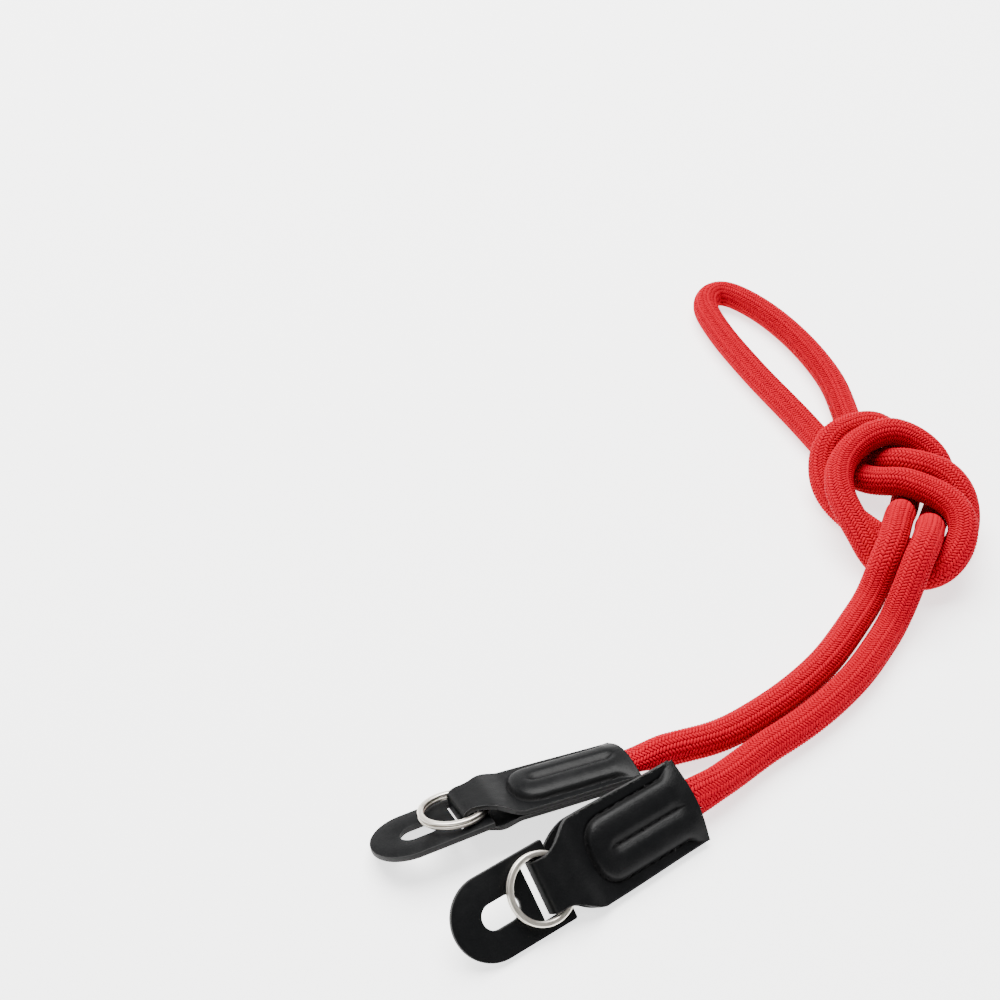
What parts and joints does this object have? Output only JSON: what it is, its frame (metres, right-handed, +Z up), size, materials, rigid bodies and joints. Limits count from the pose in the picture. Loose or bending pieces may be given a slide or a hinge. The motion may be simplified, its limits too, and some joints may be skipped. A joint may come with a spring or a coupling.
{
  "type": "camera neck strap",
  "caption": "Round braided cord neck strap for a camera, folded double and tied in an overhand knot, with a leather end, a split ring and a leather protector at either end.",
  "frame": {"origin": "on the surface that the strap lies on, under the middle of the box round its two leather ends", "axes": "+Z up, +Y away from the camera, +X from the leather ends toward the knot"},
  "size_m": [0.1762, 0.2747, 0.022],
  "materials": {
    "braided_cord": "braided matt nylon, scarlet",
    "leather": "smooth black leather with a soft sheen",
    "nickelled_steel": "bright nickel plate"
  },
  "bodies": {
    "root": {"cord": "braided_cord", "front_cover": "leather", "front_ring": "nickelled_steel", "front_protector": "leather", "rear_cover": "leather", "rear_ring": "nickelled_steel", "rear_protector": "leather"}
  },
  "joints": []
}
